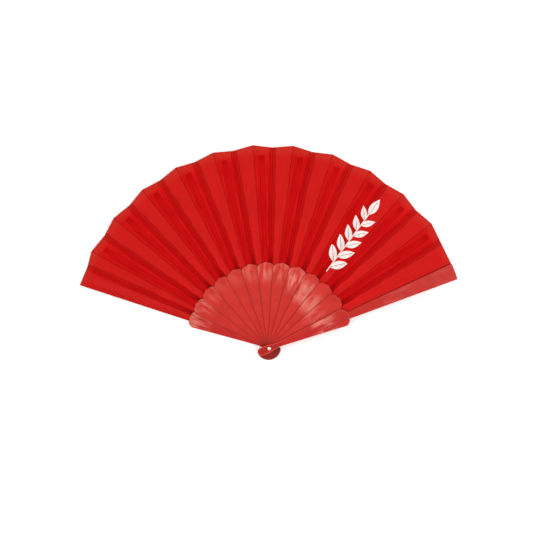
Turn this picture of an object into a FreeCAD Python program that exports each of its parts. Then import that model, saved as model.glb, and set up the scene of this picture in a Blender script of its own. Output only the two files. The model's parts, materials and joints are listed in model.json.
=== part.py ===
import FreeCAD, Part
import math
import os

# A pleated folding hand fan, shown open and lying on its back, in millimetres.
# The Z axis is the rivet's axis and Z = 0 is the back face of the rear guard.
# The sticks turn about the rivet. Seen from above, the rear guard is on the left at the bottom
# of the stack, the front guard on the right at the top, and +Y runs up through the open leaf.

# Overall sizes
FAN_RADIUS = 217.0  # rivet axis to the leaf's outermost corners
FOOT_LENGTH = 13.0  # rivet axis to the rounded foot of each stick
BLADE_LENGTH = 92.0  # rivet axis to the rounded top of each wide blade
STICK_COUNT = 13  # both guards included

# How far the fan is open
FRONT_GUARD_ANGLE = 22.6  # degrees from +X to the front guard's centre line
STICK_STEP = 11.4  # degrees from one inner stick to the next
FRONT_STEP = 12.6  # degrees from the last inner stick to the front guard
REAR_STEP = 10.2  # degrees from the rear guard to the first inner stick

# Wide blades below the leaf
BLADE_WIDTH = 18.8
BLADE_CORNER = 6.5  # radius of the blade top's two corners
FOOT_WIDTH = 8.8  # across the rounded foot below the rivet
NECK_WIDTH = 5.2  # narrowest place, just above the rivet
NECK_DISTANCE = 13.0  # rivet axis to the neck
NECK_REACH = 4.3  # how far the curve into the neck runs along the blade's straight side
BLADE_TOP_DROP = 0.93  # how far the slightly domed blade top falls to its corners

# Thicknesses and how the sticks stack
BLADE_THICKNESS = 1.0
GUARD_THICKNESS = 2.0
STICK_GAP = 0.1  # between the flat faces of neighbouring sticks

# Narrow ribs that carry the leaf
RIB_WIDTH = 5.1
RIB_THICKNESS = 0.5
RIB_SHORTFALL = 11.0  # from the rib's tip to the leaf's edge
RIB_ROOT = 4.0  # how far a rib runs down into its blade
ROOT_OVERLAP = 1.0  # how far the root, cut to the blade's thickness, runs on past the blade's end
ROOT_STEP = 0.2  # from the blade's end to where the rib or arm has its full thickness
RIB_CORNER = 2.2  # radius of the rib tip's corners
GUARD_ARM_THICKNESS = 1.2  # the part of a guard that lies beside the leaf
GUARD_ARM_HALF_ANGLE = 2.4  # degrees; the arm widens towards its end
GUARD_ARM_SHORTFALL = 4.0  # from the arm's rounded end to the fan's radius
GUARD_ARM_CORNER = 1.5  # radius of the arm's end corners

# Leaf
CLOTH_THICKNESS = 0.18
GLUE_GAP = 0.02  # between the cloth and the face it is glued to
LEAF_GAP = 0.7  # between the blade tops and the leaf's inner edge
PEAK_ANGLE = 2.4  # degrees from a stick's centre line to its peak fold
VALLEY_ANGLE = 3.3  # degrees from a stick's centre line to its valley fold
VALLEY_SHORTFALL = 2.6  # the leaf's edge is this much nearer the rivet at a valley fold
REAR_SHORTFALL = 2.6  # this much nearer along the rear guard
FRONT_SHORTFALL = 4.4  # and this much nearer along the front guard
FOLD_GAP = 0.15  # between a glued panel and the free panel beside it, at the fold
PLEAT_SLOPE = 0.14  # rise across a glued panel, per millimetre of width
RADIAL_SLOPE = 0.0095  # rise along ribs, arms and leaf, per millimetre beyond the blades

# Rivet
RIVET_RADIUS = 1.45
RIVET_CLEARANCE = 0.05  # radial, between the rivet and the sticks that turn on it
RIVET_HEAD_RADIUS = 2.2
RIVET_HEAD_HEIGHT = 0.9
RIVET_HEAD_GAP = 0.08  # between the rivet's head and the front guard
RIVET_TAIL_HEIGHT = 0.6
RIVET_TAIL_RECESS = 0.2  # depth of the tail's outer face below the rear guard's back face

# Derived sizes
LAST = STICK_COUNT - 1
PITCH = BLADE_THICKNESS + STICK_GAP
LEAF_INNER_RADIUS = BLADE_LENGTH + LEAF_GAP
RIB_END = FAN_RADIUS - RIB_SHORTFALL
GUARD_ARM_END = FAN_RADIUS - GUARD_ARM_SHORTFALL
TILT = math.degrees(math.atan(PLEAT_SLOPE))
RADIAL_RISE = math.degrees(math.atan(RADIAL_SLOPE))
UP = FreeCAD.Vector(0, 0, 1)
ALONG = FreeCAD.Vector(1, 0, 0)
ORIGIN = FreeCAD.Vector(0, 0, 0)

# The back face of stick 1, the room between two ribs of the closed fan, and the guards' faces
# that the first and last glued panels lie on, where the blades end on the centre line.
FIRST_STICK_Z = GUARD_THICKNESS + STICK_GAP
SHEET_STACK = PITCH - RIB_THICKNESS
REAR_GLUE_FACE = FIRST_STICK_Z + (BLADE_THICKNESS - RIB_THICKNESS) / 2 - SHEET_STACK
FRONT_GLUE_FACE = (
    FIRST_STICK_Z + (LAST - 2) * PITCH + (BLADE_THICKNESS + RIB_THICKNESS) / 2 + SHEET_STACK
)


def stick_angle(index):
    """Direction of a stick's centre line, in degrees from +X, with the fan open."""
    if index == LAST:
        return FRONT_GUARD_ANGLE
    if index == 0:
        return stick_angle(1) + REAR_STEP
    return FRONT_GUARD_ANGLE + FRONT_STEP + (LAST - 1 - index) * STICK_STEP


def stick_base(index):
    """Height of the back face of a stick's flat lower part."""
    if index == 0:
        return 0.0
    return FIRST_STICK_Z + (index - 1) * PITCH


def lower_outline():
    """Closed outline of a stick's flat lower part, with the stick along +X."""
    foot = FOOT_WIDTH / 2
    neck = NECK_WIDTH / 2
    side = BLADE_WIDTH / 2
    foot_centre = foot - FOOT_LENGTH
    shoulder = BLADE_LENGTH - BLADE_TOP_DROP - BLADE_CORNER
    flare = (side - neck) / (shoulder - NECK_DISTANCE)

    def point(x, y):
        return FreeCAD.Vector(x, y, 0)

    foot_end = Part.Arc(point(foot_centre, -foot), point(-FOOT_LENGTH, 0), point(foot_centre, foot))
    top_left = point(BLADE_LENGTH - BLADE_TOP_DROP, side - BLADE_CORNER)
    top_right = point(BLADE_LENGTH - BLADE_TOP_DROP, BLADE_CORNER - side)
    top_end = Part.Arc(top_left, point(BLADE_LENGTH, 0), top_right)
    edges = [foot_end.toShape(), top_end.toShape()]
    for sign in (1, -1):
        waist = Part.BezierCurve()
        waist.setPoles([
            point(foot_centre, sign * foot),
            point((foot_centre + NECK_DISTANCE) / 2, sign * foot),
            point(NECK_DISTANCE - NECK_REACH, sign * (neck - NECK_REACH * flare)),
            point(NECK_DISTANCE, sign * neck),
        ])
        shoulder_place = point(shoulder, sign * side)
        bulge = BLADE_CORNER * math.sqrt(0.5)
        corner_middle = point(shoulder + bulge, sign * (side - BLADE_CORNER + bulge))
        corner_end = point(BLADE_LENGTH - BLADE_TOP_DROP, sign * (side - BLADE_CORNER))
        edges.append(waist.toShape())
        edges.append(Part.makeLine(point(NECK_DISTANCE, sign * neck), shoulder_place))
        edges.append(Part.Arc(shoulder_place, corner_middle, corner_end).toShape())
    return Part.Wire(Part.__sortEdges__(edges))


def lower_part(thickness):
    """A stick's flat lower part, standing on Z = 0, with its rivet hole."""
    plate = Part.Face(lower_outline()).extrude(UP * thickness)
    hole = Part.makeCylinder(RIVET_RADIUS + RIVET_CLEARANCE, thickness)
    return plate.cut(hole)


def tilted(shape, height):
    """Turns a shape made round the +X axis into the slope of a glued panel, at this height."""
    turned = shape.copy()
    turned.translate(ALONG * -BLADE_LENGTH)
    turned.rotate(ORIGIN, ALONG, TILT)
    turned.rotate(ORIGIN, FreeCAD.Vector(0, 1, 0), -RADIAL_RISE)
    turned.translate(FreeCAD.Vector(BLADE_LENGTH, 0, height))
    return turned


def joined(lower, upper_part, height, thickness):
    """Adds the sloped upper part of a stick, kept within the blade's thickness at its root."""
    root = tilted(upper_part(BLADE_LENGTH - RIB_ROOT), height)
    slab = Part.makeBox(RIB_ROOT + ROOT_OVERLAP, BLADE_WIDTH, thickness)
    slab.translate(FreeCAD.Vector(BLADE_LENGTH - RIB_ROOT, -BLADE_WIDTH / 2, 0))
    upper = tilted(upper_part(BLADE_LENGTH + ROOT_STEP), height)
    return lower.fuse([root.common(slab), upper]).removeSplitter()


def rounded_end(plate, end, thickness, corner):
    """Rounds the two upright corner edges at the far end of a plate that lies along +X."""
    def at_end(edge):
        near = abs(edge.CenterOfMass.x - end) < thickness
        upright = edge.BoundBox.ZLength > edge.BoundBox.YLength
        return near and upright
    return plate.makeFillet(corner, [edge for edge in plate.Edges if at_end(edge)])


def rib_from(start):
    """A narrow rib along +X from this distance to its tip, centred on the axis."""
    rib = Part.makeBox(RIB_END - start, RIB_WIDTH, RIB_THICKNESS)
    rib.translate(FreeCAD.Vector(start, -RIB_WIDTH / 2, -RIB_THICKNESS / 2))
    return rounded_end(rib, RIB_END, RIB_THICKNESS, RIB_CORNER)


def arm_from(start):
    """A guard's arm along +X from this distance, widening towards its curved end."""
    spread = math.tan(math.radians(GUARD_ARM_HALF_ANGLE))
    far = GUARD_ARM_END + GUARD_ARM_CORNER
    left = [(start, start * spread), (far, far * spread)]
    corners = left + [(x, -y) for x, y in left[::-1]]
    low = -GUARD_ARM_THICKNESS / 2
    points = [FreeCAD.Vector(x, y, low) for x, y in corners]
    wedge = Part.Face(Part.makePolygon(points + points[:1])).extrude(UP * GUARD_ARM_THICKNESS)
    reach = Part.makeCylinder(GUARD_ARM_END, GUARD_ARM_THICKNESS, UP * low)
    return rounded_end(wedge.common(reach), GUARD_ARM_END, GUARD_ARM_THICKNESS, GUARD_ARM_CORNER)


def place_stick(shape, index):
    """Lifts a stick to its place in the stack and turns it to its open angle."""
    placed = shape.copy()
    placed.translate(UP * stick_base(index))
    placed.rotate(ORIGIN, UP, stick_angle(index))
    return placed


def inner_stick(index):
    stick = joined(lower_part(BLADE_THICKNESS), rib_from, BLADE_THICKNESS / 2, BLADE_THICKNESS)
    return place_stick(stick, index)


def rear_guard():
    middle = REAR_GLUE_FACE - GUARD_ARM_THICKNESS / 2
    guard = joined(lower_part(GUARD_THICKNESS), arm_from, middle, GUARD_THICKNESS)
    recess_depth = RIVET_TAIL_HEIGHT + RIVET_TAIL_RECESS
    recess = Part.makeCylinder(RIVET_HEAD_RADIUS + RIVET_CLEARANCE, recess_depth)
    return place_stick(guard.cut(recess), 0)


def front_guard():
    middle = FRONT_GLUE_FACE - stick_base(LAST) + GUARD_ARM_THICKNESS / 2
    guard = joined(lower_part(GUARD_THICKNESS), arm_from, middle, GUARD_THICKNESS)
    return place_stick(guard, LAST)


def glue_face(index):
    """Height of a glued panel's back face on its stick's centre line, where the blade ends."""
    if index == 0:
        return REAR_GLUE_FACE + GLUE_GAP
    if index == LAST:
        return FRONT_GLUE_FACE - GLUE_GAP - CLOTH_THICKNESS
    return stick_base(index) + (BLADE_THICKNESS + RIB_THICKNESS) / 2 + GLUE_GAP


def fold_point(index, offset_angle, radius, shift):
    """A point of a stick's sloped plane, at an angle from its centre line, moved sideways by shift."""
    angle = math.radians(offset_angle)
    along = radius * math.cos(angle)
    across = radius * math.sin(angle)
    height = glue_face(index) + RADIAL_SLOPE * (along - BLADE_LENGTH) + PLEAT_SLOPE * across
    turn = math.radians(stick_angle(index))
    side = across + shift
    x = along * math.cos(turn) - side * math.sin(turn)
    y = along * math.sin(turn) + side * math.cos(turn)
    return FreeCAD.Vector(x, y, height)


def cloth(left, right):
    """A thin ruled sheet between two folds, each given as (stick, angle, outer radius, shift)."""
    wires = []
    for inner in (True, False):
        low = []
        for index, angle, outer_radius, shift in (left, right):
            radius = LEAF_INNER_RADIUS if inner else outer_radius
            low.append(fold_point(index, angle, radius, shift))
        high = [p + UP * CLOTH_THICKNESS for p in low]
        wires.append(Part.makePolygon([low[0], low[1], high[1], high[0], low[0]]))
    return Part.makeLoft(wires, True, True)


def peak_radius(index):
    """Rivet axis to the leaf's edge at a stick's peak fold, or at the leaf's end on the rear guard."""
    shortfalls = {0: REAR_SHORTFALL, LAST: FRONT_SHORTFALL}
    return FAN_RADIUS - shortfalls.get(index, 0.0)


def glued_panel(index):
    """The leaf's panel that is glued to a stick, from its peak fold down to its valley fold."""
    peak = (index, PEAK_ANGLE, peak_radius(index), 0.0)
    if index == LAST:
        return cloth(peak, (index, -GUARD_ARM_HALF_ANGLE, peak_radius(index), 0.0))
    return cloth(peak, (index, -VALLEY_ANGLE, FAN_RADIUS - VALLEY_SHORTFALL, 0.0))


def free_panel(index):
    """The leaf's panel that crosses from the stick before to this one, from valley up to peak."""
    valley = (index - 1, -VALLEY_ANGLE, FAN_RADIUS - VALLEY_SHORTFALL, -FOLD_GAP)
    return cloth(valley, (index, PEAK_ANGLE, peak_radius(index), FOLD_GAP))


def pivot_rivet():
    """One rivet: a low dome above the front guard, a shank, and a flat tail sunk in the rear guard."""
    top = stick_base(LAST) + GUARD_THICKNESS + RIVET_HEAD_GAP
    shank = Part.makeCylinder(RIVET_RADIUS, top - RIVET_TAIL_RECESS, UP * RIVET_TAIL_RECESS)
    tail = Part.makeCylinder(RIVET_HEAD_RADIUS, RIVET_TAIL_HEIGHT, UP * RIVET_TAIL_RECESS)
    ball_radius = (RIVET_HEAD_RADIUS**2 + RIVET_HEAD_HEIGHT**2) / (2 * RIVET_HEAD_HEIGHT)
    ball = Part.makeSphere(ball_radius, UP * (top + RIVET_HEAD_HEIGHT - ball_radius))
    above = Part.makeCylinder(RIVET_HEAD_RADIUS, 2 * RIVET_HEAD_HEIGHT, UP * top)
    return shank.fuse([tail, ball.common(above)]).removeSplitter()


pieces = {"rear_guard": rear_guard(), "front_guard": front_guard(), "pivot_rivet": pivot_rivet()}
for number in range(1, LAST):
    pieces[f"stick_{number:02d}"] = inner_stick(number)
for number in range(STICK_COUNT):
    pieces[f"leaf_panel_{number:02d}"] = glued_panel(number)
for number in range(1, STICK_COUNT):
    pieces[f"leaf_fold_{number:02d}"] = free_panel(number)

os.makedirs("parts", exist_ok=True)
for name, shape in pieces.items():
    shape.exportStep(f"parts/{name}.step")
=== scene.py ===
import json
import math

import bpy
from mathutils import Matrix, Vector

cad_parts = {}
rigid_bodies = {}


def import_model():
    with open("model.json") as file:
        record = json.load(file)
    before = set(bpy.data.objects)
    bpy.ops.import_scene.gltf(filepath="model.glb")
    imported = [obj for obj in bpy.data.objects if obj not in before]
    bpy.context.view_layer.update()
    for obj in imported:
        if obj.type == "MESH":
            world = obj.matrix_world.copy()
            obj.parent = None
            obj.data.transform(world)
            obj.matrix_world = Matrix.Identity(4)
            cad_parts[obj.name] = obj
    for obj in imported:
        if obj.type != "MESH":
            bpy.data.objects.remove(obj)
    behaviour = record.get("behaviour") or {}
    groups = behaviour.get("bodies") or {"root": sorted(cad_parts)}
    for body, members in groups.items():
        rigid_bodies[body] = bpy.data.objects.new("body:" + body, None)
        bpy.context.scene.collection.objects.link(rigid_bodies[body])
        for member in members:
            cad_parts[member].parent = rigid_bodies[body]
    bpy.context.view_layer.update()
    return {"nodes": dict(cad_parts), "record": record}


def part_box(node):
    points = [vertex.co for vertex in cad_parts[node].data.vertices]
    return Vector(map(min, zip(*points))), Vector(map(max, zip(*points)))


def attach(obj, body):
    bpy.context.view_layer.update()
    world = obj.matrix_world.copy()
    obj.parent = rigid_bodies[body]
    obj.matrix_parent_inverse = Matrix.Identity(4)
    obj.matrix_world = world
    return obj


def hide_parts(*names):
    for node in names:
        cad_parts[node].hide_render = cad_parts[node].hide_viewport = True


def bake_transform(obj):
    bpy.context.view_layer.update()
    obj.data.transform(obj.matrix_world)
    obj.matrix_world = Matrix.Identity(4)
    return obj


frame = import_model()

# An open folding fan, lying face up, in metres. Z is the rivet's axis, the rear guard is on the
# left at the bottom of the stack and the front guard on the right at the top.

# ---------------------------------------------------------------- shapes of the parts

FOOT_LENGTH = 0.013  # rivet axis to the foot's end
FOOT_WIDTH = 0.0088
NECK_WIDTH = 0.0052
NECK_DISTANCE = 0.013
NECK_REACH = 0.0043
BLADE_LENGTH = 0.092  # rivet axis to the blade's rounded top
BLADE_WIDTH = 0.0188
BLADE_CORNER = 0.0065
BLADE_TOP_DROP = 0.00093

FOOT_CENTRE = FOOT_WIDTH / 2 - FOOT_LENGTH  # where the foot's round end is centred
SHOULDER = BLADE_LENGTH - BLADE_TOP_DROP - BLADE_CORNER  # where the blade's corners begin

RIB_WIDTH = 0.0051
RIB_THICKNESS = 0.0005
RIB_END = 0.206
ROOT_LENGTH = 0.002  # how far a rib or arm runs down inside its blade
ROOT_CUT = 0.00005  # it lies within the blade's thickness up to this far from the blade's end
ROOT_STEP = 0.0002  # and has its full height this far past the blade's end
ARM_THICKNESS = 0.0012
ARM_HALF_ANGLE = math.radians(2.4)
ARM_END = 0.213
ARM_CORNER = 0.0015
RIB_CORNER = 0.002193  # a little tighter than half the rib's width
GLUE_GAP = 0.00002

HOLLOW_DEPTH = 0.00035  # the moulded hollow in the front guard, from its foot to its neck
HOLLOW_FOOT = 0.00273  # half its width at the foot
HOLLOW_NECK = 0.00125  # and along the neck
HOLLOW_WAIST = 0.0052  # how far beyond the rivet it has narrowed to the neck's width
HOLLOW_ROUNDING = 0.00025  # where its walls meet its floor

RIVET_RADIUS = 0.00145
RIVET_CLEARANCE = 0.00005
RIVET_RIM = 0.00018
RIVET_HEAD_RADIUS = 0.0022
RIVET_HEAD_HEIGHT = 0.0009
RIVET_TAIL_HEIGHT = 0.0006

# ---------------------------------------------------------------- looks

STICK_ROUNDING = 0.00022  # moulded edge radius
GUARD_ROUNDING = 0.00085
RIB_ROUNDING = 0.00012
ARM_ROUNDING = 0.0004
CUT_ROUNDING = 0.00002  # as good as sharp
ROUNDING_STEPS = 2
SHARP_ANGLE = math.radians(40)  # a pocket's rim bends more than this, rounded edges less
ARC_STEPS = 14
LEAF_ACROSS = 18  # cloth mesh divisions over one panel
LEAF_ALONG = 60
LEAF_EDGE_GAP = 0.00015  # between the cloth's inner edge and the blade tops
CLOTH_SAG = 0.00022  # how far the cloth wanders from a flat panel
CLOTH_WAVE = 0.021  # size of the waves it wanders in
THREAD_PITCH = 0.00042
LINE_DRIFT = 0.0032  # room that the marks along the folds wander in
PRINT_SOFTNESS = 0.00012

# Where each stick carries a pale patch of painted reflection, rougher than the rest, from the rivet,
# and how much, from the rear guard on
PALE_PATCH_PLACES = (
    0.082, 0.084, 0.087, 0.088, 0.088, 0.087, 0.085, 0.084, 0.078, 0.070, 0.064, 0.058, 0.062,
)
PALE_PATCH_AMOUNTS = (0.8, 0.7, 0.4, 0.15, 0.15, 0.45, 0.7, 0.6, 1.0, 1.0, 0.8, 0.45, 1.0)
PALE_PATCH_CORE = 0.002  # at full strength within this far of the place
PALE_PATCH_REACH = 0.019  # and not at all beyond this
# strength of the painted reflection haze beyond the blades
ARM_REFLECTION = 0.17
# strength of the painted shade on the stacked feet
FOOT_SHADE_AMOUNT = 0.85
# strength of the painted highlight on the rounded edges, for guards and for sticks
GUARD_EDGE_HIGHLIGHT = 0.75
STICK_EDGE_HIGHLIGHT = 0.15

# Colours, as red, green and blue in linear light
GUARD_RED = (0.370, 0.0060, 0.0050)
STICK_RED = (0.425, 0.0125, 0.0085)
PALE_REFLECTION_AND_SCRATCH = (0.55, 0.155, 0.125)
EDGE_HIGHLIGHT = (0.56, 0.060, 0.048)
FOOT_SHADE = (0.16, 0.0003, 0.0005)
PLASTIC_NEAR_RIVET = (0.45, 0.002, 0.002)
HOLLOW_SHADE = (0.21, 0.0010, 0.0012)
PLASTIC_CREVICE_SHADE = (0.22, 0.0005, 0.0005)

CLOTH_RED = (0.470, 0.0050, 0.0050)
CLOTH_DEEP = (0.415, 0.0030, 0.0034)
CLOTH_FREE_LIT = (0.405, 0.0125, 0.0105)  # painted light: the free panels, sloping the other way, are painted a little paler
CLOTH_OUTER = (0.410, 0.0230, 0.0150)  # beyond the ribs, at the leaf's edge
CLOTH_LIGHT_LINE = (0.54, 0.008, 0.008)
CLOTH_DARK_LINE = (0.24, 0.0003, 0.0012)
CLOTH_SLUB = (0.32, 0.003, 0.005)
CLOTH_BETWEEN_THREADS = (0.30, 0.002, 0.004)
CLOTH_RIB_SHADOW = (0.330, 0.0004, 0.0016)
CLOTH_RIB_TIP_SHADOW = (0.25, 0.0004, 0.0016)
CLOTH_ON_ARM = (0.400, 0.0150, 0.0130)
CLOTH_CREASE_SHADE = (0.22, 0.0004, 0.0010)
CLOTH_VALLEY_SHADE = (0.320, 0.0004, 0.0014)
CLOTH_DARKEST_SHADE = (0.160, 0.0004, 0.0010)
CLOTH_POCKET_SHADE = (0.05, 0.0004, 0.0008)
CLOTH_CREVICE_SHADE = (0.05, 0.001, 0.002)
PRINT_WHITE = (0.72, 0.69, 0.68)
PRINT_DULL = (0.62, 0.59, 0.58)
PRINT_CREASE_SHADE = (0.45, 0.2, 0.2)

RIVET_BRIGHT = (0.80, 0.70, 0.66)
RIVET_SMEARED = (0.62, 0.53, 0.50)
RIVET_RIM_REFLECTION = (0.40, 0.13, 0.11)

FLOOR_WHITES = ((0.92, 0.95, 0.985), (0.94, 0.97, 0.995))
WORLD_LIGHT = (1.0, 0.955, 0.91, 1.0)
WORLD_STRENGTH = 1.08
LAMP_LIGHT = (1.0, 0.95, 0.90)

# ---------------------------------------------------------------- where things are

SAME_PLACE = 0.00001  # closer than this, two points are one
SAME_WAY = 0.0001  # and two directions are one

JOINTS = frame["record"]["behaviour"]["joints"]
BODIES = [JOINTS[0]["parent"]] + [joint["child"] for joint in JOINTS]
LAST = len(BODIES) - 1
STEPS = [math.radians(joint["range_deg"][1]) for joint in JOINTS]


def node_points(node):
    return [vertex.co.copy() for vertex in frame["nodes"][node].data.vertices]


def halfway(points):
    """The point in the middle of the cloth, from its front and back points."""
    heights = [point.z for point in points]
    return Vector((points[0].x, points[0].y, (min(heights) + max(heights)) / 2))


def fold_ends(points, side):
    """The inner and outer ends of a leaf panel's left (max) or right (min) edge."""
    extreme = side(math.atan2(point.y, point.x) for point in points)
    edge = [point for point in points if abs(math.atan2(point.y, point.x) - extreme) < SAME_WAY]
    near = min(point.xy.length for point in edge)
    far = max(point.xy.length for point in edge)
    inner = halfway([point for point in edge if point.xy.length < near + SAME_PLACE])
    outer = halfway([point for point in edge if point.xy.length > far - SAME_PLACE])
    return inner, outer


LEAF_POINTS = [node_points(f"leaf_panel_{number:02d}") for number in range(LAST + 1)]
PEAKS = [fold_ends(points, max) for points in LEAF_POINTS]
VALLEYS = [fold_ends(points, min) for points in LEAF_POINTS]
CLOTH_THICKNESS = 2 * (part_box("leaf_panel_00")[1].z - max(end.z for end in PEAKS[0] + VALLEYS[0]))


def fold_point(fold, radius):
    """The point of a fold line at this distance from the rivet's axis."""
    inner, outer = fold
    near, far = inner.xy.length, outer.xy.length
    return inner.lerp(outer, (radius - near) / (far - near))


def way(fold):
    return math.atan2(fold[1].y, fold[1].x)


def arm_direction():
    """Direction of the front guard's arm, from the points at its far end."""
    far = [point for point in node_points(BODIES[LAST]) if point.xy.length > ARM_END - ARM_CORNER]
    angles = [math.atan2(point.y, point.x) for point in far]
    return (min(angles) + max(angles)) / 2


FRONT_GUARD_ANGLE = arm_direction()


def stick_angle(index):
    """Direction of a stick's centre line with the fan open."""
    return FRONT_GUARD_ANGLE + sum(STEPS[index:])


def stick_faces(index):
    """Heights of the back and front faces of a stick's flat lower part."""
    heights = [p.z for p in node_points(BODIES[index]) if p.xy.length < BLADE_LENGTH / 2]
    return min(heights), max(heights)


def stick_frame(index):
    """From a stick's own axes, along and across its centre line, to the fan's."""
    return Matrix.Rotation(stick_angle(index), 4, "Z")


def cloth_height(index, place):
    """Height of a glued panel's plane above or below this point."""
    a, b = PEAKS[index]
    normal = (b - a).cross(VALLEYS[index][1] - a)
    return a.z - (normal.x * (place.x - a.x) + normal.y * (place.y - a.y)) / normal.z


# ---------------------------------------------------------------- node helpers

class Nodes:
    """Short calls for building one material's node tree."""

    def __init__(self, name):
        self.material = bpy.data.materials.new(name)
        self.material.use_nodes = True
        self.tree = self.material.node_tree
        self.shader = self.tree.nodes["Principled BSDF"]

    def add(self, kind, **settings):
        node = self.tree.nodes.new(kind)
        for key, value in settings.items():
            setattr(node, key, value)
        return node

    def link(self, source, target):
        self.tree.links.new(source, target)

    def feed(self, socket, value):
        if isinstance(value, bpy.types.NodeSocket):
            self.link(value, socket)
        else:
            socket.default_value = value

    def math(self, operation, a, b=0.0, clamp=False):
        node = self.add("ShaderNodeMath", operation=operation, use_clamp=clamp)
        self.feed(node.inputs[0], a)
        self.feed(node.inputs[1], b)
        return node.outputs[0]

    def ramp(self, value, low, high, out_low=0.0, out_high=1.0):
        """Smooth step of a value from low to high."""
        node = self.add("ShaderNodeMapRange", interpolation_type="SMOOTHSTEP")
        for socket, number in zip(node.inputs[1:5], (low, high, out_low, out_high)):
            socket.default_value = number
        self.feed(node.inputs[0], value)
        return node.outputs[0]

    def mix(self, factor, a, b):
        """From colour a to colour b. A colour is a socket or (red, green, blue) in linear light."""
        node = self.add("ShaderNodeMix", data_type="RGBA")
        self.feed(node.inputs[0], factor)
        for socket, colour in ((node.inputs[6], a), (node.inputs[7], b)):
            self.feed(socket, (*colour, 1.0) if isinstance(colour, tuple) else colour)
        return node.outputs[2]

    def layered(self, base, layers):
        """Lays each (mask, amount, colour) over the ones before it."""
        for mask, amount, colour in layers:
            base = self.mix(self.math("MULTIPLY", mask, amount), base, colour)
        return base

    def noise(self, vector, scale, detail=2.0, roughness=0.5):
        node = self.add("ShaderNodeTexNoise")
        self.feed(node.inputs["Vector"], vector)
        node.inputs["Scale"].default_value = scale
        node.inputs["Detail"].default_value = detail
        node.inputs["Roughness"].default_value = roughness
        return node.outputs["Fac"]

    def split(self, vector):
        """The three parts of a vector."""
        node = self.add("ShaderNodeSeparateXYZ")
        self.link(vector, node.inputs[0])
        return node.outputs

    def uv(self, name):
        """The two numbers of a UV map, as sockets, and its vector."""
        source = self.add("ShaderNodeUVMap", uv_map=name).outputs[0]
        parts = self.split(source)
        return parts[0], parts[1], source

    def bump(self, height, distance, normal=None):
        node = self.add("ShaderNodeBump")
        node.inputs["Strength"].default_value = 1.0
        node.inputs["Distance"].default_value = distance
        self.link(height, node.inputs["Height"])
        if normal is not None:
            self.link(normal, node.inputs["Normal"])
        return node.outputs[0]

    def bumps(self, layers):
        """Bumps one on top of the other, from (height, distance) pairs, sent to the shader."""
        normal = None
        for height, distance in layers:
            normal = self.bump(height, distance, normal)
        self.link(normal, self.shader.inputs["Normal"])


def scaled(nodes, vector, x, y, z):
    """A vector stretched along its axes."""
    node = nodes.add("ShaderNodeMapping")
    node.inputs["Scale"].default_value = (x, y, z)
    nodes.link(vector, node.inputs["Vector"])
    return node.outputs[0]


def own_number(nodes, name):
    """A number carried by each object that wears the material."""
    node = nodes.add("ShaderNodeAttribute", attribute_type="OBJECT", attribute_name=name)
    return node.outputs["Fac"]


def crevice(nodes, distance):
    """1 on open surfaces, less beside and under a neighbouring part."""
    node = nodes.add("ShaderNodeAmbientOcclusion", samples=8)
    node.inputs["Distance"].default_value = distance
    return node.outputs["AO"]


def upward(nodes):
    """How far the surface faces up: 1 straight up, -1 straight down."""
    return nodes.split(nodes.add("ShaderNodeNewGeometry").outputs["Normal"])[2]


def turned_axes(nodes, x, y, angle):
    """Distances along and across a line through the origin at this angle from X."""
    cosine, sine = math.cos(angle), math.sin(angle)
    along = nodes.math("ADD", nodes.math("MULTIPLY", x, cosine), nodes.math("MULTIPLY", y, sine))
    across = nodes.math("SUBTRACT", nodes.math("MULTIPLY", y, cosine), nodes.math("MULTIPLY", x, sine))
    return along, across


def stripe(nodes, offset, half):
    """1 on a line, 0 from this far beside it."""
    return nodes.ramp(nodes.math("ABSOLUTE", offset), half, half * 0.25)


# ---------------------------------------------------------------- plastic

def guard_hollow(nodes, along, across):
    """1 in the moulded hollow that runs from a guard's foot past the rivet to its neck."""
    nearest = nodes.math("MINIMUM", nodes.math("MAXIMUM", along, FOOT_CENTRE), NECK_DISTANCE)
    beyond = nodes.math("SUBTRACT", along, nearest)
    beyond_squared = nodes.math("MULTIPLY", beyond, beyond)
    across_squared = nodes.math("MULTIPLY", across, across)
    distance = nodes.math("SQRT", nodes.math("ADD", beyond_squared, across_squared))
    half = nodes.ramp(along, FOOT_CENTRE, HOLLOW_WAIST, HOLLOW_FOOT, HOLLOW_NECK)
    return nodes.ramp(nodes.math("SUBTRACT", half, distance), -0.0002, 0.0003)


def own_place(nodes, place):
    """The place moved by the stick's number, so that no two sticks carry the same marks."""
    shift = nodes.add("ShaderNodeCombineXYZ")
    nodes.link(nodes.math("MULTIPLY", own_number(nodes, "stick_number"), 0.37), shift.inputs[2])
    moved = nodes.add("ShaderNodeVectorMath", operation="ADD")
    nodes.link(place, moved.inputs[0])
    nodes.link(shift.outputs[0], moved.inputs[1])
    return moved.outputs[0]


def reflection_and_scuff_patches(nodes, along, patches):
    """Painted reflection: pale patches round the stick's own place for them, which are rougher too,
    and a weak painted haze along a guard's arm.
    """
    from_place = nodes.math("SUBTRACT", along, own_number(nodes, "pale_patch_place"))
    near = nodes.ramp(nodes.math("ABSOLUTE", from_place), PALE_PATCH_REACH, PALE_PATCH_CORE)
    scuff_and_reflection = nodes.math("MULTIPLY", nodes.ramp(patches, 0.34, 0.68), near)
    scuff_and_reflection = nodes.math("MULTIPLY", scuff_and_reflection, own_number(nodes, "pale_patch_amount"), clamp=True)
    on_arm = nodes.ramp(along, BLADE_LENGTH + 0.008, BLADE_LENGTH + 0.02)
    arm_reflection = nodes.math("MULTIPLY", nodes.ramp(patches, 0.45, 0.75), on_arm)
    return nodes.math("MAXIMUM", scuff_and_reflection, nodes.math("MULTIPLY", arm_reflection, ARM_REFLECTION))


def rounded_rim(nodes):
    """1 on the rounded edges between a stick's flat faces and its upright sides."""
    tipped = nodes.math("ABSOLUTE", upward(nodes))
    return nodes.math("MULTIPLY", nodes.ramp(tipped, 0.995, 0.90), nodes.ramp(tipped, 0.10, 0.45))


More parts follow.
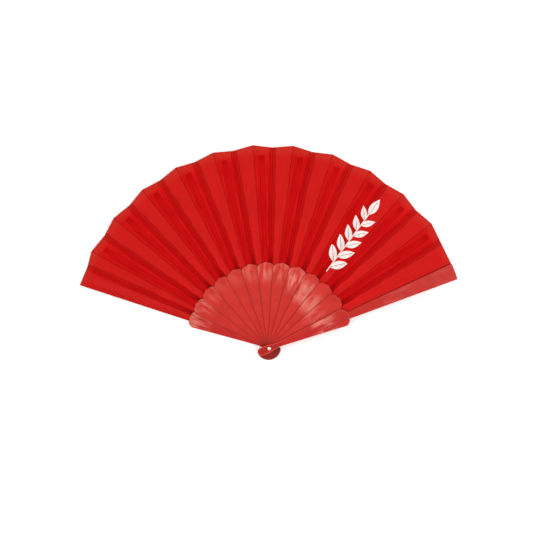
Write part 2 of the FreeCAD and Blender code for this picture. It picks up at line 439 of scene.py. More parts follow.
def plastic(name, colour):
    """Moulded plastic in stick axes: X runs along the stick, Y across it."""
    nodes = Nodes(name)
    place = nodes.add("ShaderNodeTexCoord").outputs["Object"]
    along, across = nodes.split(place)[:2]
    own = own_place(nodes, place)
    mottling = nodes.noise(own, 55.0, 3.0)
    scratches = nodes.noise(scaled(nodes, own, 60.0, 2200.0, 1.0), 1.0, 4.0, 0.6)
    patches = nodes.noise(scaled(nodes, own, 62.0, 230.0, 1.0), 1.0, 3.0, 0.55)
    scuff_and_reflection = reflection_and_scuff_patches(nodes, along, patches)
    hollow = nodes.math("MULTIPLY", guard_hollow(nodes, along, across), own_number(nodes, "hollow"))

    deep = (colour[0] * 0.88, colour[1] * 0.6, colour[2] * 0.6)
    base = nodes.mix(nodes.ramp(mottling, 0.3, 0.7), deep, colour)
    base = nodes.layered(base, (
        # painted reflection in the pale patches, and real scratches, share one pale colour
        (scuff_and_reflection, 1.0, PALE_REFLECTION_AND_SCRATCH),
        (nodes.ramp(scratches, 0.62, 0.78), 0.08, PALE_REFLECTION_AND_SCRATCH),
        (nodes.ramp(along, 0.060, 0.010), 0.30, PLASTIC_NEAR_RIVET),
        # painted highlight on the rounded edges
        (rounded_rim(nodes), own_number(nodes, "edge_highlight"), EDGE_HIGHLIGHT),
        # painted shade in the front guard's moulded hollow
        (hollow, 0.65, HOLLOW_SHADE),
        # painted shade on the feet below the rivet, on all but the front guard
        (nodes.ramp(along, -0.0015, -0.0060), own_number(nodes, "foot_shade"), FOOT_SHADE),
    ))
    # painted shade: the base colour darkens in crevices and under neighbouring parts
    open_air = nodes.ramp(crevice(nodes, 0.0045), 0.40, 0.95)
    nodes.link(nodes.mix(open_air, PLASTIC_CREVICE_SHADE, base), nodes.shader.inputs["Base Color"])

    roughness = nodes.ramp(scuff_and_reflection, 0.0, 1.0, 0.30, 0.52)
    roughness = nodes.math("ADD", roughness, nodes.math("MULTIPLY", mottling, 0.12))
    nodes.link(roughness, nodes.shader.inputs["Roughness"])
    nodes.shader.inputs["IOR"].default_value = 1.5
    nodes.shader.inputs["Specular IOR Level"].default_value = 0.30
    nodes.shader.inputs["Specular Tint"].default_value = (1.0, 0.74, 0.68, 1.0)
    waves = nodes.noise(own, 70.0, 1.0)
    skin = nodes.noise(own, 900.0, 2.0)
    nodes.bumps(((waves, 0.00035), (scratches, 0.00003), (skin, 0.00001)))
    return nodes.material


# ---------------------------------------------------------------- cloth

def sprig_leaf(nodes, forward, sideways, length, half):
    """A pointed printed leaf from the origin along forward, with a thin bare vein."""
    fullness = 0.85  # below 1, it is widest nearer its stem
    vein_length = 0.82  # as a share of the leaf's
    share = nodes.math("DIVIDE", forward, length, clamp=True)
    bulge = nodes.math("SINE", nodes.math("MULTIPLY", nodes.math("POWER", share, fullness), math.pi))
    width = nodes.math("MULTIPLY", bulge, half)
    off = nodes.math("ABSOLUTE", sideways)
    inside = nodes.ramp(nodes.math("SUBTRACT", width, off), 0.0, PRINT_SOFTNESS)
    beside_vein = nodes.ramp(off, 0.00020, 0.00032)
    past_vein = nodes.math("SUBTRACT", 1.0, nodes.math("LESS_THAN", share, vein_length))
    return nodes.math("MULTIPLY", inside, nodes.math("MAXIMUM", beside_vein, past_vein))


def sprig_mask(nodes, x, y):
    """1 inside a printed leaf sprig that runs out from the rivet, in the flat cloth's axes."""
    direction = math.radians(53.3)
    start, end = 0.108, 0.178  # of the pairs of leaves, from the rivet
    pitch = 0.0138  # from one leaf to the next on the same side
    pair_count = 5
    leaf_length, leaf_half = 0.0200, 0.0043
    tip_length, tip_half = 0.0205, 0.0044
    lean = math.radians(41)
    shrinking = 0.055  # each leaf is smaller than the one before by this share of the first
    stem_half = 0.00055
    stem_start = start - 0.006

    along, across = turned_axes(nodes, x, y, direction)
    side = nodes.math("ABSOLUTE", across)
    left = nodes.math("GREATER_THAN", across, 0.0)
    stagger = nodes.math("MULTIPLY", left, pitch / 2)
    run = nodes.math("SUBTRACT", along, nodes.math("ADD", stagger, start))
    number = nodes.math("FLOOR", nodes.math("DIVIDE", run, pitch))
    size = nodes.math("SUBTRACT", 1.0, nodes.math("MULTIPLY", number, shrinking))
    onward = nodes.math("DIVIDE", nodes.math("FLOORED_MODULO", run, pitch), size)
    outward = nodes.math("DIVIDE", side, size)
    forward, sideways = turned_axes(nodes, onward, outward, lean)
    pairs = sprig_leaf(nodes, forward, sideways, leaf_length, leaf_half)
    pairs = nodes.math("MULTIPLY", pairs, nodes.math("GREATER_THAN", number, -0.5))
    pairs = nodes.math("MULTIPLY", pairs, nodes.math("LESS_THAN", number, pair_count - 0.5))
    from_tip = nodes.math("SUBTRACT", along, end - 0.001)
    tip = sprig_leaf(nodes, from_tip, across, tip_length, tip_half)
    stem = nodes.ramp(nodes.math("SUBTRACT", stem_half, side), 0.0, PRINT_SOFTNESS)
    stem = nodes.math("MULTIPLY", stem, nodes.math("GREATER_THAN", along, stem_start))
    stem = nodes.math("MULTIPLY", stem, nodes.math("LESS_THAN", along, end))
    return nodes.math("MAXIMUM", nodes.math("MAXIMUM", pairs, tip), stem)


def weave_height(nodes, x, y):
    """Height of a plain weave, from 0 to 1."""
    turns = 2 * math.pi / THREAD_PITCH
    warp = nodes.math("SINE", nodes.math("MULTIPLY", x, turns))
    weft = nodes.math("SINE", nodes.math("MULTIPLY", y, turns))
    crossing = nodes.math("MULTIPLY", warp, weft)
    return nodes.math("ADD", nodes.math("MULTIPLY", crossing, 0.5), 0.5)


def valley_band(nodes, from_valley, radius):
    """A band of painted shade along each valley fold, weaker towards the leaf's edge, and its two
    edges.
    """
    half = nodes.ramp(radius, BLADE_LENGTH, 0.15, 0.0022, 0.0028)
    inside = nodes.math("SUBTRACT", half, nodes.math("ABSOLUTE", from_valley))
    fade = nodes.ramp(radius, 0.105, 0.195, 1.0, 0.62)
    band = nodes.math("MULTIPLY", nodes.ramp(inside, -0.0014, 0.0010), fade)
    return band, stripe(nodes, inside, 0.0009)


def crease_lines(nodes, across, along, radius):
    """The peak fold and two weaker creases, as rays from the rivet, fading at the leaf's edge."""
    peak = math.degrees(way(PEAKS[1]) - stick_angle(1))
    lines = None
    for degrees, half, strength in ((peak, 0.0013, 1.0), (1.25, 0.0012, 0.7), (-1.9, 0.0010, 0.45)):
        aim = nodes.math("MULTIPLY", along, math.tan(math.radians(degrees)))
        line = stripe(nodes, nodes.math("SUBTRACT", across, aim), half)
        line = nodes.math("MULTIPLY", line, strength)
        lines = line if lines is None else nodes.math("MAXIMUM", lines, line)
    fade = nodes.ramp(radius, RIB_END - 0.012, RIB_END + 0.008, 1.0, 0.45)
    return nodes.math("MULTIPLY", lines, fade)


def rib_marks(nodes, across, along, ribbed):
    """Where the cloth lies on a rib, the line round the rib, and the rib's last stretch."""
    side = nodes.math("ABSOLUTE", across)
    half = RIB_WIDTH / 2
    on_rib = nodes.math("MULTIPLY", nodes.ramp(side, half + 0.0003, half - 0.0003),
                        nodes.ramp(along, RIB_END + 0.0006, RIB_END - 0.0006))
    edge = nodes.math("MULTIPLY", stripe(nodes, nodes.math("SUBTRACT", side, half), 0.0007),
                      nodes.ramp(along, RIB_END + 0.0006, RIB_END - 0.0002))
    on_rib = nodes.math("MULTIPLY", on_rib, ribbed)
    edge = nodes.math("MULTIPLY", edge, ribbed)
    tip = nodes.math("MULTIPLY", nodes.ramp(along, RIB_END - 0.012, RIB_END - 0.002), on_rib)
    return on_rib, edge, tip


def with_print(nodes, red, sprig, flat, weave, crease_shade):
    """The white print over the red cloth, faint on the cloth's back and darkened by painted shade in
    its creases, and where it lies.
    """
    worn = nodes.ramp(nodes.noise(flat, 1500.0, 3.0), 0.25, 0.42)
    printed = nodes.math("MULTIPLY", sprig, nodes.math("MAXIMUM", worn, 0.9))
    printed = nodes.math("MULTIPLY", printed, nodes.ramp(upward(nodes), -0.1, 0.1, 0.10, 1.0))
    white = nodes.mix(weave, PRINT_DULL, PRINT_WHITE)
    # painted shade on the print in the creases
    white = nodes.layered(white, ((crease_shade, 0.22, PRINT_CREASE_SHADE),))
    return nodes.mix(printed, red, white), printed


def dull_cloth(nodes, weave):
    """Rough threads, rougher between them, with a trace of sheen."""
    nodes.link(nodes.ramp(weave, 0.0, 1.0, 0.86, 0.70), nodes.shader.inputs["Roughness"])
    nodes.shader.inputs["Sheen Weight"].default_value = 0.008
    nodes.shader.inputs["Sheen Roughness"].default_value = 0.45
    nodes.shader.inputs["Sheen Tint"].default_value = (1.0, 0.35, 0.33, 1.0)
    nodes.shader.inputs["Specular IOR Level"].default_value = 0.02


def cloth():
    """Thin red plain-weave cloth, pleated, with painted shade along its creases and folds, and a white
    print on its front.
    """
    nodes = Nodes("leaf_cloth")
    x, y, flat = nodes.uv("Flat")
    from_valley, radius, _ = nodes.uv("Pleat")
    from_rib, rib_along, rib_place = nodes.uv("Rib")

    weave = weave_height(nodes, x, y)
    slubs = nodes.noise(scaled(nodes, flat, 900.0, 110.0, 1.0), 1.0, 2.0)
    cloudy = nodes.noise(flat, 38.0, 3.0)
    streaks = nodes.noise(scaled(nodes, rib_place, 900.0, 14.0, 1.0), 1.0, 3.0, 0.6)
    wander = nodes.math("SUBTRACT", nodes.noise(flat, 75.0, 2.0), 0.5)
    drift = nodes.math("MULTIPLY", wander, LINE_DRIFT)
    across = nodes.math("ADD", from_rib, nodes.math("MULTIPLY", drift, 0.6))

    free = nodes.math("GREATER_THAN", from_valley, 0.0)
    outer_band = nodes.ramp(radius, RIB_END - 0.002, RIB_END + 0.009)
    long_lines = nodes.math("MULTIPLY", nodes.ramp(streaks, 0.50, 0.36),
                            nodes.ramp(from_valley, 0.006, -0.001))
    ribbed = own_number(nodes, "rib_under")
    on_rib, rib_edge, rib_tip = rib_marks(nodes, across, rib_along, ribbed)
    on_arm = nodes.math("MULTIPLY", stripe(nodes, across, 0.0095), nodes.math("SUBTRACT", 1.0, ribbed))
    creases = crease_lines(nodes, across, rib_along, radius)
    band, band_edge = valley_band(nodes, nodes.math("ADD", from_valley, drift), radius)
    beside_blades = nodes.ramp(radius, BLADE_LENGTH + 0.016, BLADE_LENGTH - 0.001)

    red = nodes.mix(nodes.ramp(cloudy, 0.3, 0.7), CLOTH_DEEP, CLOTH_RED)
    red = nodes.layered(red, (
        # painted light on the free panels
        (free, 0.55, CLOTH_FREE_LIT),
        (outer_band, 0.85, CLOTH_OUTER),
        (long_lines, 0.50, CLOTH_DARK_LINE),
        (nodes.ramp(streaks, 0.50, 0.66), 0.55, CLOTH_LIGHT_LINE),
        (nodes.ramp(slubs, 0.5, 0.8), 0.15, CLOTH_SLUB),
        (nodes.ramp(weave, 0.35, 0.0), 0.15, CLOTH_BETWEEN_THREADS),
        # painted shade: the rib's shadow through the cloth, deeper over its last stretch
        (on_rib, 0.45, CLOTH_RIB_SHADOW),
        (on_arm, 0.60, CLOTH_ON_ARM),
        (rib_tip, 0.40, CLOTH_RIB_TIP_SHADOW),
        # painted shade in the lines beside the rib's edges
        (rib_edge, 0.22, CLOTH_DARKEST_SHADE),
        # painted shade along the peak fold and the creases
        (creases, 0.40, CLOTH_CREASE_SHADE),
        # painted shade along each valley fold
        (band, 0.70, CLOTH_VALLEY_SHADE),
        # painted shade at the edges of the valley bands
        (band_edge, 0.40, CLOTH_DARKEST_SHADE),
        # painted shade deepening the valley bands beside the blade tops
        (nodes.math("MULTIPLY", beside_blades, band), 0.38, CLOTH_POCKET_SHADE),
    ))
    # painted shade: the cloth darkens where neighbouring parts are close
    open_air = nodes.ramp(crevice(nodes, 0.0035), 0.40, 0.90, 0.40, 1.0)
    red = nodes.mix(open_air, CLOTH_CREVICE_SHADE, red)

    # where painted shade falls on the print: the creases and the valley bands
    crease_shade = nodes.math("MAXIMUM", creases, band)
    colour, printed = with_print(nodes, red, sprig_mask(nodes, x, y), flat, weave, crease_shade)
    nodes.link(colour, nodes.shader.inputs["Base Color"])
    dull_cloth(nodes, weave)
    raised = nodes.math("ADD", on_rib, nodes.math("MULTIPLY", printed, 0.15))
    nodes.bumps(((weave, 0.00004), (slubs, 0.00003), (streaks, 0.00030), (raised, 0.00018)))
    return nodes.material


# ---------------------------------------------------------------- metal

def rivet_metal():
    """Plated steel with fine turned rings and a few tiny pits, with a painted reflection of the red
    fan on its dome's sloping sides.
    """
    nodes = Nodes("rivet_metal")
    place = nodes.add("ShaderNodeTexCoord").outputs["Object"]
    pits = nodes.noise(place, 2600.0, 4.0)
    smears = nodes.noise(place, 420.0, 3.0)
    rings = nodes.add("ShaderNodeTexWave", wave_type="RINGS", rings_direction="Z")
    nodes.link(place, rings.inputs["Vector"])
    rings.inputs["Scale"].default_value = 900.0
    colour = nodes.mix(nodes.ramp(smears, 0.35, 0.7), RIVET_BRIGHT, RIVET_SMEARED)
    # painted reflection of the red fan, darker, where the dome slopes away
    colour = nodes.mix(nodes.ramp(upward(nodes), 0.990, 0.91), colour, RIVET_RIM_REFLECTION)
    nodes.link(colour, nodes.shader.inputs["Base Color"])
    nodes.shader.inputs["Metallic"].default_value = 1.0
    nodes.link(nodes.ramp(smears, 0.2, 0.8, 0.16, 0.34), nodes.shader.inputs["Roughness"])
    nodes.bumps(((rings.outputs["Fac"], 0.000004), (pits, 0.000006)))
    return nodes.material


# ---------------------------------------------------------------- mesh helpers

def new_object(name, mesh, material):
    mesh.materials.clear()
    mesh.materials.append(material)
    made = bpy.data.objects.new(name, mesh)
    bpy.context.collection.objects.link(made)
    return made


def arc(centre, radius, start, end, steps=ARC_STEPS):
    """Points of an arc between two angles in degrees, both ends included."""
    points = []
    for step in range(steps + 1):
        angle = math.radians(start + (end - start) * step / steps)
        points.append((centre[0] + radius * math.cos(angle), centre[1] + radius * math.sin(angle)))
    return points


def bezier(a, b, c, d, steps=ARC_STEPS):
    """Points inside a cubic curve, its ends left out."""
    points = []
    for step in range(1, steps):
        t = step / steps
        weights = ((1 - t) ** 3, 3 * t * (1 - t) ** 2, 3 * t * t * (1 - t), t ** 3)
        points.append(tuple(sum(w * p[k] for w, p in zip(weights, (a, b, c, d))) for k in (0, 1)))
    return points


def circle(radius, steps=40):
    """A round hole's outline, run clockwise."""
    return arc((0.0, 0.0), radius, 360.0, 360.0 / steps, steps - 1)


def lower_outline():
    """A stick's flat lower part: rounded foot, waist, flared blade and rounded blade top."""
    foot, neck, side = FOOT_WIDTH / 2, NECK_WIDTH / 2, BLADE_WIDTH / 2
    flare = (side - neck) / (SHOULDER - NECK_DISTANCE)
    middle = (FOOT_CENTRE + NECK_DISTANCE) / 2

    def half(sign):
        """From the foot's side to the top's middle, on one side."""
        neck_place = (NECK_DISTANCE, sign * neck)
        neck_aim = (NECK_DISTANCE - NECK_REACH, sign * (neck - NECK_REACH * flare))
        waist = bezier((FOOT_CENTRE, sign * foot), (middle, sign * foot), neck_aim, neck_place)
        corner = arc((SHOULDER, sign * (side - BLADE_CORNER)), BLADE_CORNER, sign * 90, 0)
        flat = side - BLADE_CORNER
        top = [(BLADE_LENGTH - BLADE_TOP_DROP * s * s, sign * flat * s) for s in (0.75, 0.5, 0.25)]
        return waist + [neck_place] + corner + top

    lower = half(-1)
    upper = half(1)
    return lower + [(BLADE_LENGTH, 0.0)] + upper[::-1] + arc((FOOT_CENTRE, 0.0), foot, 90, 270)


def hollow_outline():
    """The hollow in the front guard, from a wide round end in its foot to a narrow one at its neck."""
    third = (HOLLOW_WAIST - FOOT_CENTRE) / 3

    def side(sign):
        foot, neck = sign * HOLLOW_FOOT, sign * HOLLOW_NECK
        return bezier((FOOT_CENTRE, foot), (FOOT_CENTRE + third, foot),
                      (HOLLOW_WAIST - third, neck), (HOLLOW_WAIST, neck))

    outer_end = arc((NECK_DISTANCE, 0.0), HOLLOW_NECK, -90, 90)
    return arc((FOOT_CENTRE, 0.0), HOLLOW_FOOT, 90, 270) + side(-1) + outer_end + side(1)[::-1]


def root_places():
    """Places along a stick where the lower end of a rib or arm changes height."""
    return (BLADE_LENGTH - ROOT_LENGTH, BLADE_LENGTH - ROOT_CUT, BLADE_LENGTH + ROOT_STEP)


def mirrored(half):
    """A closed outline from its left half, which runs outward; the right half runs first."""
    return [(x, -y) for x, y in half] + half[::-1]


def rib_outline():
    """A rib from inside its blade to its rounded tip."""
    side = RIB_WIDTH / 2
    half = [(x, side) for x in root_places()]
    return mirrored(half + arc((RIB_END - RIB_CORNER, side - RIB_CORNER), RIB_CORNER, 90, 0, steps=8))


def arm_outline():
    """A guard's arm from inside its blade to its curved end, widening all the way."""
    spread = math.tan(ARM_HALF_ANGLE)
    centre_radius = ARM_END - ARM_CORNER
    centre_angle = ARM_HALF_ANGLE - math.asin(ARM_CORNER / centre_radius)
    centre = (centre_radius * math.cos(centre_angle), centre_radius * math.sin(centre_angle))
    half = [(x, x * spread) for x in root_places()]
    turn = math.degrees(ARM_HALF_ANGLE)
    end_turn = math.degrees(centre_angle)
    half += arc(centre, ARM_CORNER, 90 + turn, end_turn, steps=6)
    # the end's curve, clear of the corner's last point and of the centre line
    half += arc((0.0, 0.0), ARM_END, end_turn * 0.8, end_turn * 0.1, steps=4)
    return mirrored(half)


def plate(outlines, thickness, rounding):
    """A mesh plate centred on Z = 0 with rounded edges. The first outline runs anticlockwise."""
    curve = bpy.data.curves.new("plate", "CURVE")
    curve.dimensions = "2D"
    curve.fill_mode = "BOTH"
    curve.extrude = thickness / 2 - rounding
    curve.bevel_depth = rounding
    curve.bevel_resolution = ROUNDING_STEPS
    curve.offset = -rounding
    for outline in outlines:
        spline = curve.splines.new("POLY")
        spline.points.add(len(outline) - 1)
        for point, (x, y) in zip(spline.points, outline):
            point.co = (x, y, 0.0, 1.0)
        spline.use_cyclic_u = True
    holder = bpy.data.objects.new("plate", curve)
    bpy.context.collection.objects.link(holder)
    bpy.context.view_layer.update()
    mesh = bpy.data.meshes.new_from_object(holder)
    bpy.data.objects.remove(holder)
    bpy.data.curves.remove(curve)
    return mesh


def joined(name, meshes):
    """One mesh from several."""
    vertices, faces = [], []
    for mesh in meshes:
        first = len(vertices)
        vertices += [tuple(v.co) for v in mesh.vertices]
        faces += [tuple(first + i for i in p.vertices) for p in mesh.polygons]
        bpy.data.meshes.remove(mesh)
    whole = bpy.data.meshes.new(name)
    whole.from_pydata(vertices, [], faces)
    whole.update()
    return whole


def lifted(mesh, height):
    for vertex in mesh.vertices:
        vertex.co.z += height
    return mesh


def sloped(mesh, index, height):
    """Tips a plate in stick axes into the slope of its glued panel, this far above the cloth.

    Where it runs down inside the blade, it stays between the blade's faces.
    """
    to_fan = stick_frame(index)
    back, front = stick_faces(index)
    for vertex in mesh.vertices:
        vertex.co.z += height + cloth_height(index, to_fan @ vertex.co)
        if vertex.co.x < BLADE_LENGTH:
            vertex.co.z = min(max(vertex.co.z, back + GLUE_GAP), front - GLUE_GAP)
    return mesh


def smooth(thing):
    """Smooth shading that keeps the flat faces flat."""
    thing.data.polygons.foreach_set("use_smooth", [True] * len(thing.data.polygons))
    weighted = thing.modifiers.new("flat_faces", "WEIGHTED_NORMAL")
    weighted.weight = 80
    weighted.keep_sharp = True
    return thing


# ---------------------------------------------------------------- sticks and rivet

def make_stick(index, material):
    """A stick's lower part with its rib or arm, in the stick's own axes, turned to its place."""
    guard = index in (0, LAST)
    rounding = GUARD_ROUNDING if guard else STICK_ROUNDING
    back, front = stick_faces(index)
    lower = plate([lower_outline(), circle(RIVET_RADIUS + RIVET_CLEARANCE)], front - back, rounding)
    lifted(lower, (back + front) / 2)
    gap = CLOTH_THICKNESS / 2 + GLUE_GAP
    if guard:
        side = 1 if index else -1
        upper = plate([arm_outline()], ARM_THICKNESS, ARM_ROUNDING)
        sloped(upper, index, side * (gap + ARM_THICKNESS / 2))
    else:
        upper = plate([rib_outline()], RIB_THICKNESS, RIB_ROUNDING)
        sloped(upper, index, -gap - RIB_THICKNESS / 2)
    made = new_object(f"{BODIES[index]}_shell", joined(BODIES[index], [lower, upper]), material)
    made["stick_number"] = float(index)
    made["pale_patch_place"] = PALE_PATCH_PLACES[index]
    made["pale_patch_amount"] = PALE_PATCH_AMOUNTS[index]
    made["foot_shade"] = 0.0 if index == LAST else FOOT_SHADE_AMOUNT
    made["edge_highlight"] = GUARD_EDGE_HIGHLIGHT if guard else STICK_EDGE_HIGHLIGHT
    made["hollow"] = 1.0 if index == LAST else 0.0
    made.matrix_world = stick_frame(index)
    smooth(made)
    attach(made, BODIES[index])
    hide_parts(BODIES[index])
    return made


def carve(guard, outline, depth, height, rounding):
    """Cuts a pocket with this outline into the face of a guard at this height."""
    cutter = lifted(plate([outline], 2 * depth, rounding), height)
    tool = new_object("pocket_tool", cutter, guard.data.materials[0])
    tool.matrix_world = guard.matrix_world
    cut = guard.modifiers.new("pocket", "BOOLEAN")
    cut.operation = "DIFFERENCE"
    cut.solver = "EXACT"
    cut.object = tool
    flat_faces = guard.modifiers["flat_faces"]
    flat_faces.show_viewport = False
    bpy.context.view_layer.update()
    graph = bpy.context.evaluated_depsgraph_get()
    mesh = bpy.data.meshes.new_from_object(guard.evaluated_get(graph))
    mesh.polygons.foreach_set("use_smooth", [True] * len(mesh.polygons))
    mesh.set_sharp_from_angle(angle=SHARP_ANGLE)
    guard.modifiers.remove(cut)
    flat_faces.show_viewport = True
    guard.data = mesh
    bpy.data.objects.remove(tool)


def sink_rivet_tail(guard):
    """Cuts the round recess that the rivet's tail sits in, in the rear guard's back face."""
    back = stick_faces(0)[0]
    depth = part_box("pivot_rivet")[0].z + RIVET_TAIL_HEIGHT - back
    outline = circle(RIVET_HEAD_RADIUS + RIVET_CLEARANCE)[::-1]
    carve(guard, outline, depth, back, CUT_ROUNDING)


def hollow_foot(guard):
    """Cuts the shallow hollow round the rivet in the front guard's front face."""
    carve(guard, hollow_outline(), HOLLOW_DEPTH, stick_faces(LAST)[1], HOLLOW_ROUNDING)


def turned(name, profile, steps, material):
    """A solid of revolution about Z from (radius, height) points that start and end on the axis."""
    vertices = [(0.0, 0.0, profile[0][1])]
    rings = profile[1:-1]
    for radius, height in rings:
        for step in range(steps):
            angle = 2 * math.pi * step / steps
            vertices.append((radius * math.cos(angle), radius * math.sin(angle), height))
    vertices.append((0.0, 0.0, profile[-1][1]))
    top = len(vertices) - 1
    faces = []
    for step in range(steps):
        after = (step + 1) % steps
        faces.append((0, 1 + after, 1 + step))
        faces.append((top, top - steps + step, top - steps + after))
        for ring in range(len(rings) - 1):
            low, high = 1 + ring * steps, 1 + (ring + 1) * steps
            faces.append((low + step, low + after, high + after, high + step))
    mesh = bpy.data.meshes.new(name)
    mesh.from_pydata(vertices, [], faces)
    return new_object(name, mesh, material)


def make_rivet(material):
    """A shank through every stick, with a domed head in front and a flat tail behind."""
    low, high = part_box("pivot_rivet")
    head_base = high.z - RIVET_HEAD_HEIGHT
    tail_top = low.z + RIVET_TAIL_HEIGHT
    profile = [
        (0.0, low.z),
        (RIVET_HEAD_RADIUS - RIVET_RIM, low.z),
        (RIVET_HEAD_RADIUS, low.z + RIVET_RIM),
        (RIVET_HEAD_RADIUS, tail_top),
        (RIVET_RADIUS, tail_top),
        (RIVET_RADIUS, head_base),
        (RIVET_HEAD_RADIUS, head_base),
        (RIVET_HEAD_RADIUS, head_base + RIVET_RIM),
    ]
    dome_base = head_base + RIVET_RIM
    dome = RIVET_HEAD_HEIGHT - RIVET_RIM
    for degrees in range(10, 90, 8):
        angle = math.radians(degrees)
        profile.append((RIVET_HEAD_RADIUS * math.cos(angle), dome_base + dome * math.sin(angle)))
    profile.append((0.0, high.z))
    rivet = turned("rivet_dome", profile, steps=48, material=material)
    smooth(rivet)
    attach(rivet, BODIES[0])
    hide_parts("pivot_rivet")
    return rivet


# ---------------------------------------------------------------- leaf

def blade_edge(offset):
    """Distance from the rivet to a blade's rounded top, at this angle from its centre line."""
    offset = abs(offset)
    if offset > math.radians(10):  # the ray misses this blade's top
        return 0.0
    side = BLADE_WIDTH / 2 - BLADE_CORNER
    across = BLADE_LENGTH * math.tan(offset)
    if across <= side:
        return (BLADE_LENGTH - BLADE_TOP_DROP * (across / side) ** 2) / math.cos(offset)
    toward = SHOULDER * math.cos(offset) + side * math.sin(offset)
    inside = toward ** 2 - SHOULDER ** 2 - side ** 2 + BLADE_CORNER ** 2
    return toward + math.sqrt(inside) if inside > 0 else 0.0


def inner_radius(angle):
    """Distance from the rivet to the cloth's inner edge, which follows the blade tops."""
    return LEAF_EDGE_GAP + max(blade_edge(angle - stick_angle(index)) for index in range(LAST + 1))


def panel_mesh(name, left, right, index, free):
    """A ruled cloth panel between two folds, glued to a stick or free on that stick's left.

    Its UV maps are Flat, the open leaf seen from above; Pleat, the signed distance from the valley
    fold and the radius; and Rib, the distances across and along the stick's centre line.
    """
    to_stick = stick_frame(index).inverted()
    vertices, flat, pleat, rib = [], [], [], []
    for i in range(LEAF_ACROSS + 1):
        t = i / LEAF_ACROSS
        inner = inner_radius(way(left) + t * (way(right) - way(left)))
        outer = left[1].xy.length + t * (right[1].xy.length - left[1].xy.length)
        for j in range(LEAF_ALONG + 1):
            radius = inner + (outer - inner) * j / LEAF_ALONG
            place = fold_point(left, radius).lerp(fold_point(right, radius), t)
            width = radius * (way(left) - way(right))
            own = to_stick @ place
            vertices.append(place)
            flat.append((place.x, place.y))
            pleat.append((t * width if free else -(1 - t) * width, radius))
            rib.append((own.y, own.x))
    faces = []
    row = LEAF_ALONG + 1
    for i in range(LEAF_ACROSS):
        for j in range(LEAF_ALONG):
            a = i * row + j
            faces.append((a, a + row, a + row + 1, a + 1)[::-1])
    mesh = bpy.data.meshes.new(name)
    mesh.from_pydata(vertices, [], faces)
    for layer_name, values in (("Flat", flat), ("Pleat", pleat), ("Rib", rib)):
        layer = mesh.uv_layers.new(name=layer_name)
        for loop in mesh.loops:
            layer.data[loop.index].uv = values[loop.vertex_index]
    mesh.polygons.foreach_set("use_smooth", [True] * len(mesh.polygons))
    return mesh


def soften(panel, strength):
    """Lets the cloth wander a little between its folds, more in the middle than at them."""
    slack = panel.vertex_groups.new(name="slack")
    row = LEAF_ALONG + 1
    for i in range(LEAF_ACROSS + 1):
        weight = math.sin(math.pi * i / LEAF_ACROSS)
        slack.add(list(range(i * row, (i + 1) * row)), weight, "REPLACE")
    clouds = bpy.data.textures.get("cloth_waves") or bpy.data.textures.new("cloth_waves", "CLOUDS")
    clouds.noise_scale = CLOTH_WAVE
    clouds.noise_depth = 1
    waves = panel.modifiers.new("waves", "DISPLACE")
    waves.texture = clouds
    waves.texture_coords = "UV"
    waves.uv_layer = "Flat"
    waves.vertex_group = "slack"
    waves.direction = "Z"
    waves.strength = strength
    waves.mid_level = 0.5


def thicken(panel):
    """Gives the cloth its thickness, half to each side."""
    layer = panel.modifiers.new("thickness", "SOLIDIFY")
    layer.thickness = CLOTH_THICKNESS
    layer.offset = 0.0


def add_panel(node, left, right, index, free, material):
    """One panel of the leaf."""
    panel = new_object(f"{node}_cloth", panel_mesh(node, left, right, index, free), material)
    panel["rib_under"] = 0.0 if index in (0, LAST) else 1.0
    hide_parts(node)
    return panel


def swing(panel):
    """Fixes a free panel where it was built, its placement baked into its mesh."""
    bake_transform(panel)


def make_leaf(material):
    for index in range(LAST + 1):
        peak, valley = PEAKS[index], VALLEYS[index]
        glued = add_panel(f"leaf_panel_{index:02d}", peak, valley, index, False, material)
        thicken(glued)
        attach(glued, BODIES[index])
        if index > 0:
            before = VALLEYS[index - 1]
            free = add_panel(f"leaf_fold_{index:02d}", before, peak, index, True, material)
            soften(free, CLOTH_SAG)
            thicken(free)
            swing(free)


# ---------------------------------------------------------------- floor, light and camera

def white_floor():
    """A wide pale floor just below the fan."""
    nodes = Nodes("floor_white")
    place = nodes.add("ShaderNodeTexCoord").outputs["Object"]
    cloudy = nodes.ramp(nodes.noise(place, 3.0), 0.2, 0.8)
    nodes.link(nodes.mix(cloudy, *FLOOR_WHITES), nodes.shader.inputs["Base Color"])
    nodes.shader.inputs["Roughness"].default_value = 0.9
    half = 3.0
    low = -0.0004
    corners = [(-half, -half, low), (half, -half, low), (half, half, low), (-half, half, low)]
    mesh = bpy.data.meshes.new("floor")
    mesh.from_pydata(corners, [], [(0, 1, 2, 3)])
    new_object("floor", mesh, nodes.material)


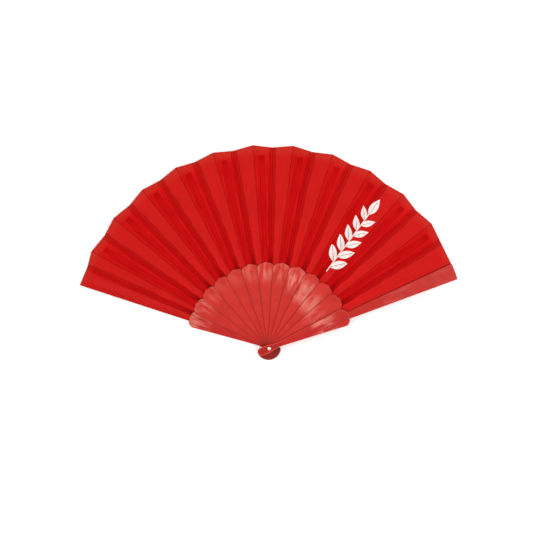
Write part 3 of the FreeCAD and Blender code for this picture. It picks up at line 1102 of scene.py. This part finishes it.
def softbox(name, place, aim, size, power):
    """A round lamp that faces this aim."""
    light = bpy.data.lights.new(name, "AREA")
    light.shape = "DISK"
    light.size = size
    light.energy = power
    light.color = LAMP_LIGHT
    lamp = bpy.data.objects.new(name, light)
    bpy.context.collection.objects.link(lamp)
    lamp.location = place
    lamp.rotation_euler = (Vector(aim) - Vector(place)).to_track_quat("-Z", "Y").to_euler()


def studio():
    """Soft light all round, a key lamp on the right and a fill behind the fan on the left."""
    world = bpy.data.worlds.new("studio")
    bpy.context.scene.world = world
    world.use_nodes = True
    background = world.node_tree.nodes["Background"]
    background.inputs["Color"].default_value = WORLD_LIGHT
    background.inputs["Strength"].default_value = WORLD_STRENGTH
    middle = (0.0, 0.09, 0.0)
    softbox("key", (0.75, 0.05, 1.25), middle, 0.6, 6.5)
    softbox("fill", (-0.5, 0.5, 1.5), middle, 1.0, 6.0)


def camera():
    """Straight above the fan, a little above its middle, as wide as the whole frame needs."""
    span = 0.570
    distance = 0.75
    sensor = 36.0  # millimetres
    rivet_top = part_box("pivot_rivet")[1].z
    middle = Vector((-0.0028, 0.087, rivet_top / 2))
    data = bpy.data.cameras.new("camera")
    data.sensor_width = sensor
    data.lens = sensor * distance / span
    data.clip_start = 0.01
    eye = bpy.data.objects.new("camera", data)
    bpy.context.collection.objects.link(eye)
    eye.location = middle + Vector((0.0, 0.0, distance))
    eye.rotation_euler = (0.0, 0.0, 0.0)
    bpy.context.scene.camera = eye


# ---------------------------------------------------------------- build

camera()
white_floor()
studio()
guard_plastic = plastic("guard_plastic", GUARD_RED)
stick_plastic = plastic("stick_plastic", STICK_RED)
for number in range(LAST + 1):
    if number in (0, LAST):
        shell = make_stick(number, guard_plastic)
    else:
        shell = make_stick(number, stick_plastic)
    if number == 0:
        sink_rivet_tail(shell)
    if number == LAST:
        hollow_foot(shell)
make_rivet(rivet_metal())
make_leaf(cloth())

view_settings = bpy.context.scene.view_settings
view_settings.view_transform = "Standard"
view_settings.look = "None"
view_settings.exposure = 0.0

bpy.context.view_layer.update()
